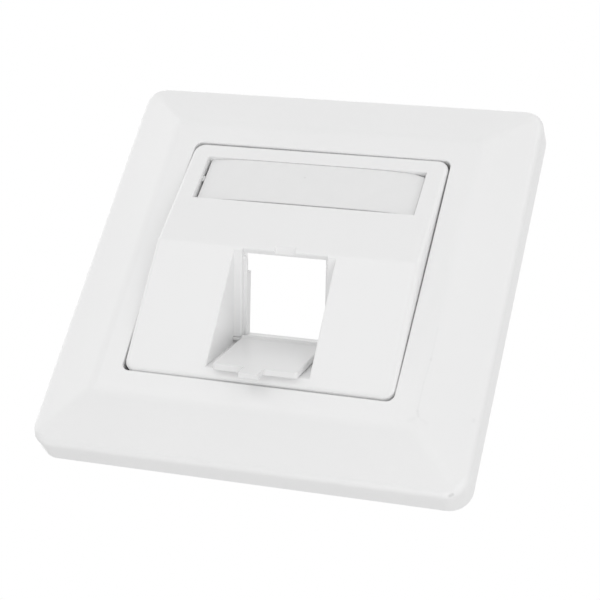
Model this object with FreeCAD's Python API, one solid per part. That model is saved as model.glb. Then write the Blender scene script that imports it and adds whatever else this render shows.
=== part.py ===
import FreeCAD, Part
import math
import os

# Single-port wall outlet for structured cabling, in millimetres.
# X is to the right, Z is up, and the wall is the plane Y = 0 with the room on the -Y side.
# The origin is the middle of the outlet on the wall, and a height is a distance in front of the wall.

# Cover frame
FRAME_HALF = 40.0
FRAME_CORNER_R = 4.0
RIM_H = 5.7
RIM_R = 1.5
FLAT_H = 9.0
CREASE_HALF = 29.8
CREASE_R = 5.0
BEVEL_HOLLOW = 0.2
MITRE_R = 4.5
FRAME_WALL = 1.8
OPENING_HALF = 25.17
OPENING_R = 1.4
OPENING_EDGE_R = 0.3
OPENING_TURN = 0.24
OPENING_RIGHT = 0.02
OPENING_DOWN = 0.06
COLLAR_WALL = 1.6
LEDGE_HALF = 23.6
LEDGE_H = 2.4
RIB_T = 1.0
RIB_PLACES = (-16.0, 16.0)
RIB_FOOT_H = 3.0

# Support frame, pressed from sheet
SHEET_T = 1.0
SHEET_HALF = 35.5
SHEET_CORNER_CUT = 11.0
SHEET_CORNER_R = 2.0
SHEET_OPENING_HALF = 21.0
SHEET_OPENING_R = 4.0
SCREW_SPACING = 60.0
SLOT_W = 3.6
SLOT_L = 7.0
CLAW_HOLE_R = 1.6
CLAW_HOLE_AT = 26.5

# Centre plate
PLATE_HALF = 25.0
PLATE_CORNER_R = 2.2
PLATE_EDGE_H = 8.95
PLATE_EDGE_R = 0.9
RIDGE_H = 12.25
RIDGE_Z = 0.5
RIDGE_R = 3.0
ROOF_T = 1.7
SKIRT_T = 1.6
LEG_OUTER = 20.8
LEG_T = 1.4
LEG_W = 6.0
LEG_AT_Z = 6.5
LEG_ROOT_H = 10.6
LEG_TIP = 2.4
BARB = 0.9

# Port, tilted to face the floor
PORT_TILT = 45.0
APEX_H = 12.5
APEX_Z = 0.2
APEX_EDGE_R = 0.3
RECESS_HALF = 9.6
RECESS_WALL = 1.4
RECESS_EDGE_R = 0.3
CEILING_T = 1.4
REBATE_HALF = 8.1
REBATE_DEPTH = 1.2
REBATE_EDGE_R = 0.2
MODULE_HALF = 7.5
MODULE_LENGTH = 16.6
PORT_WALL = 2.9
RELIEF_LENGTH = 4.9
RELIEF_DEPTH = 1.4
NUB_R = 0.6
NUB_DEPTH = 1.2
NUB_DROP = 2.2
NOTCH_HALF = 1.95
NOTCH_RISE = 1.3
NOTCH_DEPTH = 1.0
SILL_T = 1.3
SILL_LENGTH = 14.0

# Dust shutter, modelled as it hangs open
SHUTTER_OPEN = 93.0
SHUTTER_HALF = 7.85
SHUTTER_LENGTH = 15.4
SHUTTER_INNER = 0.6
SHUTTER_OUTER = 0.65
SHUTTER_EDGE_R = 0.25
SHUTTER_CORNER_R = 0.6
TAB_HALF = 1.8
TAB_LENGTH = 3.0
TAB_T = 0.95
BARREL_R = 0.9
BARREL_GAP = 0.25
PIN_R = 0.36
PIN_HOLE_R = 0.44
PIN_END = 10.6
PIN_HOLE_END = 10.8
HINGE_DROP = 17.2
SILL_GAP = 0.12

# Label field on the upper facet
LABEL_Z = 16.5
LABEL_HALF = 21.4
LABEL_TALL = 10.5
LABEL_DEPTH = 2.2
LABEL_FLOOR = 1.2
LABEL_WALL = 1.2
CARD_T = 0.25
CARD_LONG = 40.6
CARD_TALL = 9.8
STRIP_LEFT = -20.7
STRIP_RIGHT = 21.1
STRIP_TALL = 9.8
STRIP_LIFT = 0.25
STRIP_T = 1.0
STRIP_BOW = 0.7
STRIP_CHAMFER = 0.3
TONGUE_T = 0.5
TONGUE_FOOT = 0.35
LEFT_TONGUE_W = 1.3
LEFT_TONGUE_LIFT = 0.55
RIGHT_TONGUE_W = 4.0
TONGUE_IN = 0.5
TONGUE_GAP = 0.15

# Overlap that lets two solids of one moulding fuse cleanly
WELD = 0.2
X_AXIS = FreeCAD.Vector(1, 0, 0)
Y_AXIS = FreeCAD.Vector(0, 1, 0)


def at(x, height, z):
    """Point at a height in front of the wall."""
    return FreeCAD.Vector(x, -height, z)


def slab(x0, x1, h0, h1, z0, z1):
    """Block between two heights in front of the wall."""
    return Part.makeBox(x1 - x0, h1 - h0, z1 - z0, at(x0, h1, z0))


def edges_where(shape, wanted):
    """Edges whose every end point passes the test."""
    return [edge for edge in shape.Edges if all(wanted(v.Point) for v in edge.Vertexes)]


def depth_edges(box):
    """Edges of a block that run straight away from the wall."""
    return [edge for edge in box.Edges if abs(edge.tangentAt(edge.FirstParameter).y) > 0.99]


def rounded_square(half, radius, h0, h1):
    """Square pillar with rounded corners, standing on the wall's normal."""
    block = slab(-half, half, h0, h1, -half, half)
    return block.makeFillet(radius, depth_edges(block))


def side_prism(outline, half):
    """Outline of (height, z) points, drawn through from -half to +half in X."""
    points = [at(-half, height, z) for height, z in outline]
    face = Part.Face(Part.makePolygon(points + points[:1]))
    return face.extrude(FreeCAD.Vector(2 * half, 0, 0))


def mirrored(shape):
    """The same form on the other side of the middle plane X = 0."""
    return shape.mirror(FreeCAD.Vector(0, 0, 0), X_AXIS)


def on_port(shape):
    """Carry a form from the port's own frame: apex at the origin, +Z up the port face, +Y inwards."""
    placed = shape.copy()
    placed.rotate(FreeCAD.Vector(0, 0, 0), X_AXIS, PORT_TILT)
    placed.translate(at(0, APEX_H, APEX_Z))
    return placed


def port_point(inwards, down):
    """(height, z) of a point behind the port face and below its apex."""
    tilt = math.radians(PORT_TILT)
    height = APEX_H - inwards * math.cos(tilt) - down * math.sin(tilt)
    z = APEX_Z + inwards * math.sin(tilt) - down * math.cos(tilt)
    return height, z


def roof_height(z):
    """Height of the centre plate's two facets."""
    reach = PLATE_HALF - RIDGE_Z if z > RIDGE_Z else PLATE_HALF + RIDGE_Z
    return RIDGE_H - (RIDGE_H - PLATE_EDGE_H) * abs(z - RIDGE_Z) / reach


UPPER_TILT = math.degrees(math.atan2(RIDGE_H - PLATE_EDGE_H, PLATE_HALF - RIDGE_Z))


def on_label(shape):
    """Carry a form from the label's own frame: middle of the label on the facet, -Y out of the facet."""
    placed = shape.copy()
    placed.rotate(FreeCAD.Vector(0, 0, 0), X_AXIS, -UPPER_TILT)
    placed.translate(at(0, roof_height(LABEL_Z), LABEL_Z))
    return placed


def bevel_drawn_through():
    """Frame section with two hollow bevels, drawn through along X."""
    half = FRAME_HALF
    middle = (FRAME_HALF + CREASE_HALF) / 2
    middle_h = (RIM_H + FLAT_H) / 2 - BEVEL_HOLLOW
    lower = Part.Arc(at(-half, RIM_H, -half), at(-half, middle_h, -middle), at(-half, FLAT_H, -CREASE_HALF))
    upper = Part.Arc(at(-half, FLAT_H, CREASE_HALF), at(-half, middle_h, middle), at(-half, RIM_H, half))
    section = Part.Wire([
        Part.makeLine(at(-half, 0, -half), at(-half, RIM_H, -half)),
        lower.toShape(),
        Part.makeLine(at(-half, FLAT_H, -CREASE_HALF), at(-half, FLAT_H, CREASE_HALF)),
        upper.toShape(),
        Part.makeLine(at(-half, RIM_H, half), at(-half, 0, half)),
        Part.makeLine(at(-half, 0, half), at(-half, 0, -half)),
    ])
    return Part.Face(section).extrude(FreeCAD.Vector(2 * half, 0, 0))


def frame_outside():
    """Square pyramid with four hollow bevels, soft mitres, a rounded rim and a soft crease."""
    along = bevel_drawn_through()
    across = along.copy()
    across.rotate(FreeCAD.Vector(0, 0, 0), Y_AXIS, 90)
    body = along.common(across).common(rounded_square(FRAME_HALF, FRAME_CORNER_R, 0, FLAT_H))
    diagonal = edges_where(body, lambda p: abs(abs(p.x) - abs(p.z)) < 0.01 and -p.y > RIM_H)
    mitres = [edge for edge in diagonal if edge.BoundBox.YLength > WELD]
    body = body.makeFillet(MITRE_R, mitres)
    rim = edges_where(body, lambda p: RIM_H - 0.1 < -p.y < RIM_H + 0.6)
    body = body.makeFillet(RIM_R, rim)
    crease = edges_where(body, lambda p: -p.y > FLAT_H - 0.01)
    return body.makeFillet(CREASE_R, crease)


def frame_hollow():
    """Space behind the face: straight walls, then a roof that follows the bevels."""
    inner = FRAME_HALF - FRAME_WALL
    wall_top = RIM_H - FRAME_WALL
    roof = FLAT_H - FRAME_WALL
    outline = [(0, -inner), (wall_top, -inner), (roof, -CREASE_HALF),
               (roof, CREASE_HALF), (wall_top, inner), (0, inner)]
    along = side_prism(outline, inner)
    across = along.copy()
    across.rotate(FreeCAD.Vector(0, 0, 0), Y_AXIS, 90)
    return along.common(across)


def frame_ribs():
    """Stiffening ribs between collar and outer wall, two on each side."""
    inner = OPENING_HALF + COLLAR_WALL - WELD
    outer = FRAME_HALF - FRAME_WALL + WELD
    outline = [(RIB_FOOT_H, inner), (RIB_FOOT_H, outer), (RIM_H - FRAME_WALL + WELD, outer),
               (FLAT_H - FRAME_WALL + WELD, CREASE_HALF), (FLAT_H - FRAME_WALL + WELD, inner)]
    rib = side_prism(outline, RIB_T / 2)
    ribs = []
    for quarter in range(4):
        for place in RIB_PLACES:
            one = rib.copy()
            one.translate(FreeCAD.Vector(place, 0, 0))
            one.rotate(FreeCAD.Vector(0, 0, 0), Y_AXIS, 90 * quarter)
            ribs.append(one)
    return ribs


def make_outer_frame():
    """Cover frame: bevelled shell, collar, ribs, ledge, and an opening slightly askew round the plate."""
    shell = frame_outside().cut(frame_hollow())
    collar_half = OPENING_HALF + COLLAR_WALL
    collar = rounded_square(collar_half, OPENING_R + COLLAR_WALL, SHEET_T, FLAT_H - WELD)
    body = shell.multiFuse([collar] + frame_ribs())
    opening = rounded_square(OPENING_HALF, OPENING_R, LEDGE_H, FLAT_H + 1)
    opening.rotate(FreeCAD.Vector(0, 0, 0), Y_AXIS, OPENING_TURN)
    opening.translate(at(OPENING_RIGHT, 0, -OPENING_DOWN))
    body = body.cut(opening)
    body = body.cut(rounded_square(LEDGE_HALF, OPENING_R, -1, FLAT_H)).removeSplitter()
    near = OPENING_HALF + WELD
    lip = edges_where(body, lambda p: -p.y > FLAT_H - 0.01 and max(abs(p.x), abs(p.z)) < near)
    return body.makeFillet(OPENING_EDGE_R, lip)


def make_support_frame():
    """Pressed sheet with cut corners, a central opening, four screw slots and four claw holes."""
    half = SHEET_HALF
    cut = half - SHEET_CORNER_CUT
    corners = [(half, cut), (cut, half), (-cut, half), (-half, cut),
               (-half, -cut), (-cut, -half), (cut, -half), (half, -cut)]
    points = [at(x, 0, z) for x, z in corners]
    sheet = Part.Face(Part.makePolygon(points + points[:1])).extrude(at(0, SHEET_T, 0))
    sheet = sheet.makeFillet(SHEET_CORNER_R, depth_edges(sheet))
    sheet = sheet.cut(rounded_square(SHEET_OPENING_HALF, SHEET_OPENING_R, -1, SHEET_T + 1))
    straight = (SLOT_L - SLOT_W) / 2
    for quarter in range(4):
        slot = slab(-straight, straight, -1, SHEET_T + 1, -SLOT_W / 2, SLOT_W / 2)
        for end in (-straight, straight):
            slot = slot.fuse(Part.makeCylinder(SLOT_W / 2, SHEET_T + 2, at(end, SHEET_T + 1, 0), Y_AXIS))
        slot.translate(FreeCAD.Vector(SCREW_SPACING / 2, 0, 0))
        slot.rotate(FreeCAD.Vector(0, 0, 0), Y_AXIS, 90 * quarter)
        hole_at = at(CLAW_HOLE_AT, SHEET_T + 1, CLAW_HOLE_AT)
        hole = Part.makeCylinder(CLAW_HOLE_R, SHEET_T + 2, hole_at, Y_AXIS)
        hole.rotate(FreeCAD.Vector(0, 0, 0), Y_AXIS, 90 * quarter)
        sheet = sheet.cut(slot).cut(hole)
    return sheet.removeSplitter()


def plate_shell():
    """Shallow roof over a square skirt, hollow behind, with its ridge and edges rounded."""
    outline = [(LEDGE_H, -PLATE_HALF), (PLATE_EDGE_H, -PLATE_HALF), (RIDGE_H, RIDGE_Z),
               (PLATE_EDGE_H, PLATE_HALF), (LEDGE_H, PLATE_HALF)]
    body = side_prism(outline, PLATE_HALF)
    ridge = edges_where(body, lambda p: -p.y > RIDGE_H - 0.01)
    body = body.makeFillet(RIDGE_R, ridge)
    body = body.common(rounded_square(PLATE_HALF, PLATE_CORNER_R, 0, RIDGE_H + 1))
    inside = PLATE_HALF - 1
    rim = edges_where(body, lambda p: -p.y > PLATE_EDGE_H - 0.1 and max(abs(p.x), abs(p.z)) > inside)
    body = body.makeFillet(PLATE_EDGE_R, rim)
    inner = PLATE_HALF - SKIRT_T
    hollow = [(LEDGE_H - 1, -inner), (roof_height(-inner) - ROOF_T, -inner), (RIDGE_H - ROOF_T, RIDGE_Z),
              (roof_height(inner) - ROOF_T, inner), (LEDGE_H - 1, inner)]
    return body.cut(side_prism(hollow, inner))


def sill_points():
    """Rear end of the sill and the unit vector that runs down it, as (height, z) pairs."""
    open_angle = math.radians(PORT_TILT + SHUTTER_OPEN)
    down = (math.sin(open_angle), math.cos(open_angle))
    outwards = (-down[1], down[0])
    drop = SHUTTER_OUTER + SILL_GAP
    hinge = port_point(0, HINGE_DROP)
    start = (hinge[0] - drop * outwards[0], hinge[1] - drop * outwards[1])
    return start, down, outwards


def port_block():
    """Solid behind the lower facet from which the recess and the port are cut."""
    start, down, outwards = sill_points()
    in_roof = ROOF_T / 4
    back_h = APEX_H + APEX_Z - RIDGE_Z - PORT_WALL * math.sqrt(2)
    under_start = (start[0] - SILL_T * outwards[0], start[1] - SILL_T * outwards[1])
    under_end = (under_start[0] + SILL_LENGTH * down[0], under_start[1] + SILL_LENGTH * down[1])
    outline = [(RIDGE_H - in_roof, RIDGE_Z), (back_h, RIDGE_Z),
               port_point(PORT_WALL, MODULE_LENGTH + SILL_T), under_start, under_end]
    return side_prism(outline, RECESS_HALF + RECESS_WALL)


def port_cuts():
    """Recess in front of the port face, shutter rebate, module opening, reliefs and finger notch."""
    start, down, outwards = sill_points()
    front = RIDGE_H + 4
    apex = (APEX_H, APEX_Z)
    run = 2 * PLATE_HALF
    foot = (start[0] + run * down[0], start[1] + run * down[1])
    recess = side_prism([apex, start, foot, (foot[0], APEX_Z)], RECESS_HALF)
    rebate = side_prism([apex, port_point(0, HINGE_DROP), port_point(REBATE_DEPTH, HINGE_DROP),
                         (APEX_H - REBATE_DEPTH * math.sqrt(2), APEX_Z)], REBATE_HALF)
    behind_roof = RIDGE_H - ROOF_T
    module = side_prism([apex, port_point(0, MODULE_LENGTH), port_point(2 * PORT_WALL, MODULE_LENGTH),
                         (APEX_H / 2, RIDGE_Z), (behind_roof, RIDGE_Z),
                          (RIDGE_H - CEILING_T, APEX_Z)], MODULE_HALF)
    groove = Part.makeCylinder(BARREL_R + BARREL_GAP, 2 * REBATE_HALF,
                               FreeCAD.Vector(-REBATE_HALF, 0, -HINGE_DROP), X_AXIS)
    relief = Part.makeBox(2 * REBATE_HALF, PORT_WALL, RELIEF_LENGTH + PORT_WALL,
                          FreeCAD.Vector(-REBATE_HALF, RELIEF_DEPTH, -RELIEF_LENGTH))
    relief = on_port(relief).cut(slab(-front, front, behind_roof, front, -front, front))
    relief = relief.cut(slab(-front, front, -front, front, RIDGE_Z, front))
    notch_top = APEX_Z + NOTCH_RISE
    notch = side_prism([(RIDGE_H - NOTCH_DEPTH, APEX_Z - WELD), (roof_height(notch_top), notch_top),
                        (front, notch_top), (front, APEX_Z - WELD)], NOTCH_HALF)
    return [recess, rebate, module, on_port(groove), relief, notch]


def on_recess_mouth(point):
    """Whether a point lies on the lower facet, on the recess's side walls."""
    level = abs(-point.y - roof_height(point.z)) < 0.05
    return level and abs(abs(point.x) - RECESS_HALF) < 0.01


def on_rebate_edge(point):
    """Whether a point lies on the port face, on the rebate's side walls."""
    level = abs((-point.y - APEX_H) - (point.z - APEX_Z)) < WELD
    return level and abs(abs(point.x) - REBATE_HALF) < 0.01


def on_apex_edge(point):
    """Whether a point lies on the ridge, on the edge over the port."""
    return abs(point.z - APEX_Z) < 0.01 and -point.y > RIDGE_H - WELD and abs(point.x) < REBATE_HALF + WELD


def pin_hole():
    """Blind bores for the shutter's pins in the recess walls, in one tool."""
    bore = Part.makeCylinder(PIN_HOLE_R, 2 * PIN_HOLE_END,
                             FreeCAD.Vector(-PIN_HOLE_END, 0, -HINGE_DROP), X_AXIS)
    return on_port(bore)


def catch_nubs():
    """Domes on the rebate walls that the closed shutter rests on."""
    nub = on_port(Part.makeSphere(NUB_R, FreeCAD.Vector(REBATE_HALF, NUB_DEPTH, -NUB_DROP)))
    return [nub, mirrored(nub)]


def label_pocket():
    """Thickened floor under the label field and the pocket with its two tongue slots, as (add, cut)."""
    half = LABEL_HALF
    tall = LABEL_TALL / 2
    floor = slab(-half - LABEL_WALL, half + LABEL_WALL, -LABEL_DEPTH - LABEL_FLOOR, -ROOF_T / 2,
                 -tall - LABEL_WALL, tall + LABEL_WALL)
    pocket = slab(-half, half, -LABEL_DEPTH, 1, -tall, tall)
    low = -LABEL_DEPTH + CARD_T + TONGUE_FOOT - TONGUE_GAP
    left = slab(-half - TONGUE_IN - TONGUE_GAP, -half + 1, low, low + TONGUE_T + 2 * TONGUE_GAP,
                -LEFT_TONGUE_W / 2 - TONGUE_GAP, LEFT_TONGUE_W / 2 + TONGUE_GAP)
    left.translate(at(0, 0, LEFT_TONGUE_LIFT))
    right = slab(half - 1, half + TONGUE_IN + TONGUE_GAP, low, low + TONGUE_T + 2 * TONGUE_GAP,
                 -RIGHT_TONGUE_W / 2 - TONGUE_GAP, RIGHT_TONGUE_W / 2 + TONGUE_GAP)
    return on_label(floor), on_label(pocket.multiFuse([left, right]))


def snap_legs():
    """Four legs with barbs that catch behind the support frame."""
    inner = LEG_OUTER - LEG_T
    outline = [at(inner, LEG_ROOT_H, 0), at(LEG_OUTER, LEG_ROOT_H, 0), at(LEG_OUTER, 0, 0),
               at(LEG_OUTER + BARB, 0, 0), at(LEG_OUTER - BARB / 2, -LEG_TIP, 0), at(inner, -LEG_TIP, 0)]
    face = Part.Face(Part.makePolygon(outline + outline[:1]))
    leg = face.extrude(FreeCAD.Vector(0, 0, LEG_W))
    legs = []
    for middle in (-LEG_AT_Z, LEG_AT_Z):
        one = leg.copy()
        one.translate(FreeCAD.Vector(0, 0, middle - LEG_W / 2))
        legs += [one, mirrored(one)]
    return legs


def make_centre_plate():
    """Centre plate: roof shell with the port, the label field and the snap legs in one moulding."""
    floor, pocket = label_pocket()
    body = plate_shell().multiFuse([port_block(), floor] + snap_legs())
    for tool in port_cuts() + [pocket]:
        body = body.cut(tool)
    body = body.removeSplitter()
    mouth = [edge for edge in edges_where(body, on_recess_mouth) if edge.Length > RECESS_HALF]
    body = body.makeFillet(RECESS_EDGE_R, mouth)
    rebate = [edge for edge in edges_where(body, on_rebate_edge) if edge.Length > REBATE_HALF]
    body = body.makeFillet(REBATE_EDGE_R, rebate)
    apex = [edge for edge in edges_where(body, on_apex_edge) if edge.Length > NOTCH_HALF]
    body = body.makeFillet(APEX_EDGE_R, apex)
    body = body.multiFuse(catch_nubs()).cut(pin_hole())
    return body.removeSplitter()


def make_dust_shutter():
    """Shutter hanging open: plate with rounded edges, finger tab, hinge barrel and pins."""
    plate = Part.makeBox(2 * SHUTTER_HALF, SHUTTER_INNER + SHUTTER_OUTER, SHUTTER_LENGTH,
                         FreeCAD.Vector(-SHUTTER_HALF, -SHUTTER_OUTER, 0))
    corners = edges_where(plate, lambda p: p.z > SHUTTER_LENGTH - 0.01 and abs(p.x) > SHUTTER_HALF - 0.01)
    corners = [edge for edge in corners if abs(edge.tangentAt(0).y) > 0.9]
    plate = plate.makeFillet(SHUTTER_CORNER_R, corners)
    broad = [edge for edge in plate.Edges if edge.BoundBox.YLength < 0.01 and edge.BoundBox.ZMax > WELD]
    plate = plate.makeFillet(SHUTTER_EDGE_R, broad)
    tab = Part.makeBox(2 * TAB_HALF, TAB_T, TAB_LENGTH + WELD,
                       FreeCAD.Vector(-TAB_HALF, SHUTTER_INNER - TAB_T, SHUTTER_LENGTH - WELD))
    barrel = Part.makeCylinder(BARREL_R, 2 * SHUTTER_HALF, FreeCAD.Vector(-SHUTTER_HALF, 0, 0), X_AXIS)
    pin = Part.makeCylinder(PIN_R, 2 * PIN_END, FreeCAD.Vector(-PIN_END, 0, 0), X_AXIS)
    body = plate.multiFuse([tab, barrel, pin]).removeSplitter()
    body.rotate(FreeCAD.Vector(0, 0, 0), X_AXIS, PORT_TILT + SHUTTER_OPEN)
    height, z = port_point(0, HINGE_DROP)
    body.translate(at(0, height, z))
    return body


def make_label_card():
    """Blank card on the floor of the label field."""
    card = slab(-CARD_LONG / 2, CARD_LONG / 2, -LABEL_DEPTH, -LABEL_DEPTH + CARD_T,
                -CARD_TALL / 2, CARD_TALL / 2)
    return on_label(card)


def make_label_window():
    """Clear strip, bowed outwards between its two tongues, with three chamfered front edges."""
    foot = -LABEL_DEPTH + CARD_T
    middle = (STRIP_LEFT + STRIP_RIGHT) / 2
    low = STRIP_LIFT - STRIP_TALL / 2
    top = foot + STRIP_T
    under = Part.Arc(at(STRIP_LEFT, foot, low), at(middle, foot + STRIP_BOW, low),
                     at(STRIP_RIGHT, foot, low))
    over = Part.Arc(at(STRIP_LEFT, top, low), at(middle, top + STRIP_BOW, low),
                    at(STRIP_RIGHT, top, low))
    section = Part.Wire([
        under.toShape(),
        Part.makeLine(at(STRIP_RIGHT, foot, low), at(STRIP_RIGHT, top, low)),
        over.toShape(),
        Part.makeLine(at(STRIP_LEFT, top, low), at(STRIP_LEFT, foot, low)),
    ])
    strip = Part.Face(section).extrude(FreeCAD.Vector(0, 0, STRIP_TALL))
    front = edges_where(strip, lambda p: -p.y > top - 0.01)
    front = [edge for edge in front if edge.BoundBox.ZMax > low + WELD]
    strip = strip.makeChamfer(STRIP_CHAMFER, front)
    tongue = foot + TONGUE_FOOT
    left = slab(-LABEL_HALF - TONGUE_IN, STRIP_LEFT + WELD, tongue, tongue + TONGUE_T,
                -LEFT_TONGUE_W / 2, LEFT_TONGUE_W / 2)
    left.translate(at(0, 0, LEFT_TONGUE_LIFT))
    right = slab(STRIP_RIGHT - WELD, LABEL_HALF + TONGUE_IN, tongue, tongue + TONGUE_T,
                 -RIGHT_TONGUE_W / 2, RIGHT_TONGUE_W / 2)
    return on_label(strip.multiFuse([left, right]).removeSplitter())


PIECES = {
    "outer_frame": make_outer_frame,
    "support_frame": make_support_frame,
    "centre_plate": make_centre_plate,
    "dust_shutter": make_dust_shutter,
    "label_card": make_label_card,
    "label_window": make_label_window,
}

os.makedirs("parts", exist_ok=True)
for name, make in PIECES.items():
    piece = make()
    piece.exportStep("parts/" + name + ".step")
    print(name, "solids", len(piece.Solids), "valid", piece.isValid(), "volume", round(piece.Volume, 1))
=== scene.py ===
import math

import bpy
import numpy as np
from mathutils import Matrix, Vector


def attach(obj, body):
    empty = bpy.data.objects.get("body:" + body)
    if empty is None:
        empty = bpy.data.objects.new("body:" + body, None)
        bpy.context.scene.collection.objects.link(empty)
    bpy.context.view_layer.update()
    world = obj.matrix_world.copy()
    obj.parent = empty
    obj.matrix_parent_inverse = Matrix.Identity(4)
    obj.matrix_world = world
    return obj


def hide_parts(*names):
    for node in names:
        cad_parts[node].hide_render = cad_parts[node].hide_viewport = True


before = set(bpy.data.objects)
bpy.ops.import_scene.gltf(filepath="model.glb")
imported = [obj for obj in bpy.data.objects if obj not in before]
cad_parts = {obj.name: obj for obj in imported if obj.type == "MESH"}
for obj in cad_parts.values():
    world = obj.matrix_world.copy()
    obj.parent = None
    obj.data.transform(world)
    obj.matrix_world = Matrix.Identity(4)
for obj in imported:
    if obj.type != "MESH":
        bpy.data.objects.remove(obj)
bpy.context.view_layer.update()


# Support frame: zinc-plated steel sheet, 1 mm thick, pressed out in one stroke with its slots and holes.
# It lies flat on the wall and takes the box screws, and the snap legs of the centre plate catch behind it.
class Signal:
    """One output socket of a node tree. Sums and products add Math nodes, and node() adds any other node."""

    def __init__(self, tree, socket=None):
        self.tree = tree
        self.socket = socket

    def node(self, kind, settings=None, sockets=None, result=0):
        """Adds a node: its settings first, a ramp's as stops of (place, colour), then values or links."""
        made = self.tree.nodes.new(kind)
        for name, value in (settings or {}).items():
            if name == "stops":
                ramp = made.color_ramp
                while len(ramp.elements) < len(value):
                    ramp.elements.new(1.0)
                for element, (place, colour) in zip(ramp.elements, value):
                    element.position = place
                    element.color = (*colour, 1.0)
            else:
                setattr(made, name, value)
        for name, value in (sockets or {}).items():
            if isinstance(value, Signal):
                self.tree.links.new(value.socket, made.inputs[name])
            else:
                made.inputs[name].default_value = value
        return Signal(self.tree, made.outputs[result])

    def maths(self, operation, first, second):
        """Math node on two signals or numbers."""
        return self.node("ShaderNodeMath", {"operation": operation}, {0: first, 1: second})

    def __add__(self, other):
        return self.maths("ADD", self, other)

    def __radd__(self, other):
        return self.maths("ADD", other, self)

    def __sub__(self, other):
        return self.maths("SUBTRACT", self, other)

    def __rsub__(self, other):
        return self.maths("SUBTRACT", other, self)

    def __mul__(self, other):
        return self.maths("MULTIPLY", self, other)

    def __rmul__(self, other):
        return self.maths("MULTIPLY", other, self)


def new_finish(name):
    """An empty material with its shader, and a signal that carries Object coordinates."""
    finish = bpy.data.materials.new(name)
    finish.use_nodes = True
    tree = finish.node_tree
    tree.nodes.clear()
    shader = tree.nodes.new("ShaderNodeBsdfPrincipled")
    output = tree.nodes.new("ShaderNodeOutputMaterial")
    tree.links.new(shader.outputs["BSDF"], output.inputs["Surface"])
    return finish, shader, Signal(tree).node("ShaderNodeTexCoord", result="Object")


def feed(shader, **signals):
    """Links signals to the shader's sockets, named with underscores for spaces."""
    for name, signal in signals.items():
        signal.tree.links.new(signal.socket, shader.inputs[name.replace("_", " ")])


def blend_colours(signal, low, high):
    """Colour that runs from one to the other as the signal runs from 0 to 1."""
    return signal.node("ShaderNodeValToRGB", {"stops": [(0.0, low), (1.0, high)]}, {"Fac": signal}, "Color")


def noise(place, scale, detail):
    """Smooth noise from 0 to 1, with the scale in cells per metre."""
    return place.node("ShaderNodeTexNoise", {}, {"Vector": place, "Scale": scale, "Detail": detail}, "Fac")


def relief(height, strength, depth):
    """Normal of a surface whose height signal of 0 to 1 stands for a depth in metres."""
    return height.node("ShaderNodeBump", {}, {"Height": height, "Strength": strength, "Distance": depth})


ZINC_DARK = (0.43, 0.44, 0.45)
ZINC_LIGHT = (0.64, 0.64, 0.62)
SPANGLES = 520.0
ROLL_LINES = 2400.0
ROLL_STRETCH = (0.06, 1.0, 1.0)
ROLL_DEPTH = 0.00001
zinc, zinc_shader, place = new_finish("zinc_sheet")
spangle = place.node("ShaderNodeTexVoronoi", {}, {"Vector": place, "Scale": SPANGLES}, "Color")
spangle = spangle.node("ShaderNodeRGBToBW", {}, {"Color": spangle})
drawn = place.node("ShaderNodeMapping", {}, {"Vector": place, "Scale": ROLL_STRETCH})
rolled = noise(drawn, ROLL_LINES, 3.0)
feed(zinc_shader,
     Base_Color=blend_colours(0.45 * spangle + 0.55 * rolled, ZINC_DARK, ZINC_LIGHT),
     Roughness=0.24 + 0.10 * spangle + 0.12 * rolled,
     Normal=relief(rolled, 0.25, ROLL_DEPTH))
zinc_shader.inputs["Metallic"].default_value = 1.0
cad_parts["support_frame"].data.materials[0] = zinc


# Cover frame: one injection moulding in white plastic, with the satin of a spark-eroded mould.
# Four hollow bevels fall to a thin rim, and a ledge inside the opening carries the centre plate.
# Handling has left a dark nick at the rim's corner and small spots, and thin dark lines along the right
# crease and at its lower end are painted crease shade.
def smear(place, start, end, radius):
    """Mark along a straight line: 1 on the line from start to end, falling to 0 at the radius around it."""
    reach = Vector(end) - Vector(start)
    offset = place.node("ShaderNodeVectorMath", {"operation": "SUBTRACT"}, {0: place, 1: start})
    share = offset.node("ShaderNodeVectorMath", {"operation": "DOT_PRODUCT"},
                        {0: offset, 1: reach / reach.length_squared}, "Value")
    share = share.node("ShaderNodeClamp", {}, {"Value": share})
    nearest = share.node("ShaderNodeVectorMath", {"operation": "SCALE"}, {0: reach, "Scale": share})
    away = offset.node("ShaderNodeVectorMath", {"operation": "DISTANCE"}, {0: offset, 1: nearest}, "Value")
    return away.node("ShaderNodeMapRange", {"interpolation_type": "SMOOTHSTEP"},
                     {"Value": away, "From Min": 0.0, "From Max": radius, "To Min": 1.0, "To Max": 0.0})


DRIFT_CELLS, GRAIN_CELLS = 45.0, 5200.0
GREY_DRIFT = 0.024
GRAIN_DEPTH = 0.00002
PLASTIC_IOR = 1.49


def moulded_white(name, grey, satin, shine, grain, marks=()):
    """White moulding: its grey drifts slowly, a fine grain breaks up the shine, and listed marks darken it:
    dirt spots, and painted shade along a crease.
    """
    finish, shader, place = new_finish(name)
    drift = noise(place, DRIFT_CELLS, 3.0)
    fine = noise(place, GRAIN_CELLS, 2.0)
    shade = grey - GREY_DRIFT / 2 + GREY_DRIFT * drift
    for start, end, radius, depth in marks:
        shade = shade - depth * smear(place, start, end, radius)
    feed(shader,
         Base_Color=shade,
         Roughness=satin - 0.05 + 0.06 * fine + 0.04 * drift,
         Normal=relief(fine, grain, GRAIN_DEPTH))
    shader.inputs["IOR"].default_value = PLASTIC_IOR
    shader.inputs["Specular IOR Level"].default_value = shine
    return finish


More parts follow.
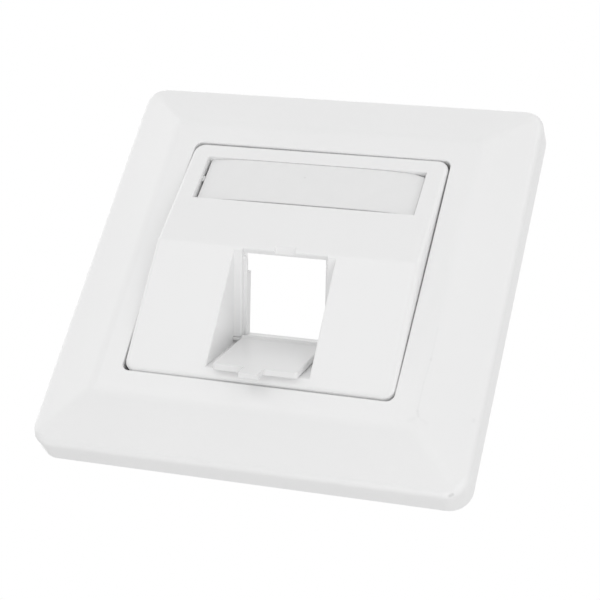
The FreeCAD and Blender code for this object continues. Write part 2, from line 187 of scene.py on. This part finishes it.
# Each mark runs from a start to an end, with a radius in metres and the grey that it takes off.
FRAME_SPOTS_AND_CREASE_SHADE = (
    # Dirt: a dark nick on the rim's corner and two small spots.
    ((0.03730, -0.00534, -0.03954), (0.03772, -0.00550, -0.03928), 0.00052, 0.20),
    ((0.03875, -0.00602, -0.02580), (0.03875, -0.00602, -0.02545), 0.00050, 0.04),
    ((0.02990, -0.00888, -0.01655), (0.02990, -0.00888, -0.01625), 0.00040, 0.03),
    # Painted shade: these six rows darken the right crease and its lower end, where shade falls.
    ((0.02985, -0.00889, -0.01000), (0.02990, -0.00888, -0.01650), 0.00028, 0.020),
    ((0.02990, -0.00888, -0.01650), (0.02960, -0.00894, -0.02100), 0.00028, 0.020),
    ((0.02960, -0.00894, -0.02100), (0.02960, -0.00894, -0.02650), 0.00028, 0.022),
    ((0.02968, -0.00892, -0.02650), (0.02998, -0.00886, -0.02750), 0.00042, 0.05),
    ((0.03060, -0.00867, -0.02795), (0.03150, -0.00835, -0.02830), 0.00055, 0.018),
    ((0.02935, -0.00898, -0.02800), (0.02850, -0.00900, -0.02855), 0.00065, 0.022),
)
cover_white = moulded_white("cover_white", grey=0.90, satin=0.30, shine=0.5, grain=0.10, marks=FRAME_SPOTS_AND_CREASE_SHADE)
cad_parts["outer_frame"].data.materials[0] = cover_white


# Centre plate: a thin white moulding with a low ridge, snapped through the cover frame into the sheet.
# Its lower half opens into the slanted port, and its upper half into the shallow label field.
plate_white = moulded_white("plate_white", grey=0.90, satin=0.30, shine=0.5, grain=0.08)
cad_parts["centre_plate"].data.materials[0] = plate_white


# Dust shutter: a small white moulding, smoother than the plate, that hangs open below the port.
# Its two pins snap into the walls of the recess, and its finger tab closes into the notch above the port.
# Its grey, lower than the plate's, is painted shade for its inner face: the real shutter is the same white
# as the plate.
shutter_white_shaded = moulded_white("shutter_white_shaded", grey=0.84, satin=0.20, shine=0.1, grain=0.04)
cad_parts["dust_shutter"].data.materials[0] = shutter_white_shaded


# Label card: a blank strip of white card, cut with scissors, on the floor of the label field.
# The window strip holds it flat and covers it.
PAPER_DARK = (0.80, 0.80, 0.79)
PAPER_LIGHT = (0.87, 0.87, 0.86)
FIBRES = 2600.0
FIBRE_DEPTH = 0.00002
card, card_shader, place = new_finish("label_card")
fibre = noise(place, FIBRES, 4.0)
feed(card_shader,
     Base_Color=blend_colours(fibre, PAPER_DARK, PAPER_LIGHT),
     Normal=relief(fibre, 0.3, FIBRE_DEPTH))
card_shader.inputs["Roughness"].default_value = 0.9
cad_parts["label_card"].data.materials[0] = card


# Label window: a strip of frosted plastic, too cloudy to show the card, sprung into the label field.
# A narrow tongue at its left end and a wide one at its right sit in slots of the end walls, which bow it
# outwards. The right end dips, so that its top corner stands clear of the field's wall.
MM = 0.001
RIDGE_H, RIDGE_Z = 12.25, 0.5
PLATE_EDGE_H, PLATE_HALF = 8.95, 25.0
LABEL_Z = 16.5
FACET_TILT = math.atan2(RIDGE_H - PLATE_EDGE_H, PLATE_HALF - RIDGE_Z)
LABEL_H = RIDGE_H - (LABEL_Z - RIDGE_Z) * math.tan(FACET_TILT)
STRIP_LEFT, STRIP_RIGHT = -21.05, 21.25
STRIP_LOW, STRIP_TOP = -4.8, 5.235
STRIP_FOOT, STRIP_T = -1.95, 1.0
STRIP_EDGE_R = 0.16
STRIP_BOW = 0.78
BOW_POWER_FOOT, BOW_POWER_TOP, BOW_POWER_RIGHT = 3.0, 8.0, 5.0
TONGUE_FOOT, TONGUE_T, TONGUE_EDGE_R = -1.6, 0.5, 0.08
LEFT_TONGUE = (-21.9, -0.1, 1.2)
RIGHT_TONGUE = (21.9, -2.0, 2.0)
END_CHAMFER, END_STEP, BODY_FROM = 0.3, 0.12, 0.6
CORNER_DROP, CORNER_FROM = 0.5, 18.9
BODY_STATIONS, CORNER_POINTS, SIDE_POINTS = 70, 5, 14


def rounded_bar(low, high, foot, top, radius, across, along):
    """Closed outlines of bars, one for each station: four straight sides between four quarter rounds.

    Each argument but the counts is an array over the stations. The sides have along points in z and two in
    depth, and each corner has across points. Returns z and depth, as stations by points.
    """
    turn = np.linspace(0.0, np.pi / 2, across)
    side = np.linspace(0.0, 1.0, along + 2)[1:-1]
    z_low, z_high = (low + radius)[:, None], (high - radius)[:, None]
    d_low, d_high = (foot + radius)[:, None], (top - radius)[:, None]
    r = radius[:, None]
    sine, cosine = np.sin(turn)[None, :], np.cos(turn)[None, :]
    z = np.hstack([z_low - r * cosine, z_low + (z_high - z_low) * side, z_high + r * sine,
                   z_high + r * cosine, z_high + (z_low - z_high) * side, z_low - r * sine])
    d = np.hstack([d_high + r * sine, np.repeat(d_high + r, along, 1), d_high + r * cosine,
                   d_low - r * sine, np.repeat(d_low - r, along, 1), d_low - r * cosine])
    return z, d


def strip_stations():
    """Places along the strip with the bar's limits there: left tongue, chamfered body, right tongue."""
    length = STRIP_RIGHT - STRIP_LEFT
    end = np.array([0.0, END_STEP, END_CHAMFER])
    body = np.concatenate([end, np.linspace(BODY_FROM, length - BODY_FROM, BODY_STATIONS),
                           length - end[::-1]]) + STRIP_LEFT
    near_end = np.minimum(body - STRIP_LEFT, STRIP_RIGHT - body)
    trim = np.clip(END_CHAMFER - near_end, 0.0, None)
    corner = CORNER_DROP * np.clip((body - CORNER_FROM) / (STRIP_RIGHT - CORNER_FROM), 0.0, 1.0)
    count = len(body)
    rows = [np.stack([body, np.full(count, STRIP_LOW), STRIP_TOP - corner, np.full(count, STRIP_FOOT),
                      STRIP_FOOT + STRIP_T - trim, np.full(count, STRIP_EDGE_R)], 1)]
    for (tip, low, high), foot in ((LEFT_TONGUE, STRIP_LEFT), (RIGHT_TONGUE, STRIP_RIGHT)):
        root = [foot, low, high, TONGUE_FOOT, TONGUE_FOOT + TONGUE_T, TONGUE_EDGE_R]
        rows.append(np.array([[tip] + root[1:], root]))
    return np.vstack([rows[1], rows[0], rows[2][::-1]]).T


def label_strip():
    """Bar carried along X, and lifted by bow * (1 - |u| ** n), u from -1 to 1 along it.

    At the left n runs from 3 at the foot to 8 at the top edge, so that the top left corner springs up first,
    and at the right it is 5. The tongues keep the height of their slots.
    """
    x, low, high, foot, top, radius = strip_stations()
    z, depth = rounded_bar(low, high, foot, top, radius, CORNER_POINTS, SIDE_POINTS)
    u = (x - (STRIP_LEFT + STRIP_RIGHT) / 2) / ((STRIP_RIGHT - STRIP_LEFT) / 2)
    u = np.clip(u, -1.0, 1.0)[:, None]
    up = (z - STRIP_LOW) / (STRIP_TOP - STRIP_LOW)
    power = np.where(u < 0, BOW_POWER_FOOT + (BOW_POWER_TOP - BOW_POWER_FOOT) * up, BOW_POWER_RIGHT)
    depth = depth + STRIP_BOW * (1.0 - np.abs(u) ** power)
    tilt_cos, tilt_sin = math.cos(FACET_TILT), math.sin(FACET_TILT)
    across = np.broadcast_to(x[:, None], z.shape)
    wallwards = -depth * tilt_cos + z * tilt_sin - LABEL_H
    upwards = depth * tilt_sin + z * tilt_cos + LABEL_Z
    return MM * np.stack([across, wallwards, upwards], 2)


def tube_mesh(name, grid):
    """Mesh of closed rings, stations by points, with quads between rings and a flat cap on each end."""
    stations, points = grid.shape[:2]
    number = np.arange(stations * points).reshape(stations, points)
    ahead = np.roll(number, -1, 1)
    quads = np.stack([number[:-1], ahead[:-1], ahead[1:], number[1:]], 2).reshape(-1, 4)
    mesh = bpy.data.meshes.new(name)
    caps = [number[0, ::-1].tolist(), number[-1].tolist()]
    mesh.from_pydata(grid.reshape(-1, 3).tolist(), [], quads.tolist() + caps)
    mesh.validate()
    return mesh


window = bpy.data.objects.new("label_strip", tube_mesh("label_strip", label_strip()))
bpy.context.scene.collection.objects.link(window)
HAZE_CELLS = 300.0
STRIP_SPECK = ((-0.00125, -0.00959, 0.01829), (-0.00117, -0.00959, 0.01829), 0.0003)
frosted, frosted_shader, place = new_finish("frosted_strip")
haze = noise(place, HAZE_CELLS, 3.0)
feed(frosted_shader,
     Base_Color=0.84 + 0.03 * haze - 0.12 * smear(place, *STRIP_SPECK),
     Roughness=0.30 + 0.08 * haze)
frosted_shader.inputs["IOR"].default_value = 1.5
window.data.materials.append(frosted)
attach(window, "wall_plate")
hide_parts("label_window")


# Room: a plain studio with a pale painted floor, which lies well below the outlet.
# White cloth hangs all round, brighter in front of the outlet than behind it, and six square lamps
# with soft boxes stand around it at arm's length.
FLOOR_Z = -1.0
FLOOR_HALF = 15.0
FLOOR_DARK, FLOOR_LIGHT = (0.86, 0.86, 0.86), (0.90, 0.90, 0.90)
FLOOR_CELLS = 6.0
corners = np.array([(-1, -1), (1, -1), (1, 1), (-1, 1)], float) * FLOOR_HALF
floor_mesh = bpy.data.meshes.new("floor")
floor_mesh.from_pydata([(x, y, FLOOR_Z) for x, y in corners], [], [(0, 1, 2, 3)])
floor = bpy.data.objects.new("floor", floor_mesh)
bpy.context.scene.collection.objects.link(floor)
pale, pale_shader, place = new_finish("pale_floor")
feed(pale_shader, Base_Color=blend_colours(noise(place, FLOOR_CELLS, 4.0), FLOOR_DARK, FLOOR_LIGHT))
pale_shader.inputs["Roughness"].default_value = 0.9
floor_mesh.materials.append(pale)

FRONT_LIGHT = 0.786
BACK_LIGHT = 0.37
world = bpy.data.worlds.new("white_room")
bpy.context.scene.world = world
world.use_nodes = True
world.node_tree.nodes.clear()
room = Signal(world.node_tree)
seen = room.node("ShaderNodeLightPath", result="Is Camera Ray")
for kind in ("Is Glossy Ray", "Is Transmission Ray"):
    seen = seen.maths("MAXIMUM", seen, room.node("ShaderNodeLightPath", result=kind))
heading = room.node("ShaderNodeTexCoord", result="Generated")
ahead = room.node("ShaderNodeVectorMath", {"operation": "DOT_PRODUCT"},
                  {0: heading, 1: (0.0, -1.0, 0.0)}, "Value")
around = (FRONT_LIGHT + BACK_LIGHT) / 2 + (FRONT_LIGHT - BACK_LIGHT) / 2 * ahead
strength = around * (1.0 - seen) + seen
backdrop = room.node("ShaderNodeBackground", {}, {"Color": (1.0, 1.0, 1.0, 1.0), "Strength": strength})
sky = world.node_tree.nodes.new("ShaderNodeOutputWorld")
world.node_tree.links.new(backdrop.socket, sky.inputs["Surface"])

LAMP_AWAY = 0.9


def soft_lamp(name, azimuth, elevation, size, watts):
    """Square lamp that faces the outlet; azimuth 0 is in front, and it grows to the right."""
    lamp = bpy.data.lights.new(name, "AREA")
    lamp.shape = "SQUARE"
    lamp.size = size
    lamp.energy = watts
    side, rise = math.radians(azimuth), math.radians(elevation)
    towards = Vector((math.sin(side) * math.cos(rise), -math.cos(side) * math.cos(rise), math.sin(rise)))
    holder = bpy.data.objects.new(name, lamp)
    bpy.context.scene.collection.objects.link(holder)
    holder.location = LAMP_AWAY * towards
    holder.rotation_mode = "QUATERNION"
    holder.rotation_quaternion = (-towards).to_track_quat("-Z", "Y")


# Each lamp has its azimuth and elevation in degrees, its width in metres and its watts.
LAMPS = (
    ("front_lamp", -22, 18, 0.4, 0.47),
    ("left_lamp", -81, 25, 0.8, 1.82),
    ("right_lamp", 55, -11, 0.6, 1.25),
    ("low_lamp", 32, -68, 0.8, 2.22),
    ("high_lamp", 52, 49, 0.6, 0.68),
    ("rear_lamp", -150, 30, 0.8, 2.00),
)
for name, azimuth, elevation, size, watts in LAMPS:
    soft_lamp(name, azimuth, elevation, size, watts)


# Camera: a long lens below and to the right of the outlet, rolled a little to the side.
# It stands as it did for the photograph, with the whole frame sharp.
CAMERA_AT = (0.095959, -0.259793, -0.150436)
CAMERA_TURN = (0.489149, 0.857216, 0.034408, 0.157261)
SENSOR_MM, LENS_MM = 36.0, 102.1494
NEAREST, FARTHEST = 0.01, 20.0
camera_data = bpy.data.cameras.new("camera")
camera_data.sensor_width = SENSOR_MM
camera_data.lens = LENS_MM
camera_data.clip_start = NEAREST
camera_data.clip_end = FARTHEST
camera = bpy.data.objects.new("camera", camera_data)
bpy.context.scene.collection.objects.link(camera)
camera.location = CAMERA_AT
camera.rotation_mode = "QUATERNION"
camera.rotation_quaternion = CAMERA_TURN
bpy.context.scene.camera = camera
bpy.context.scene.view_settings.view_transform = "Standard"
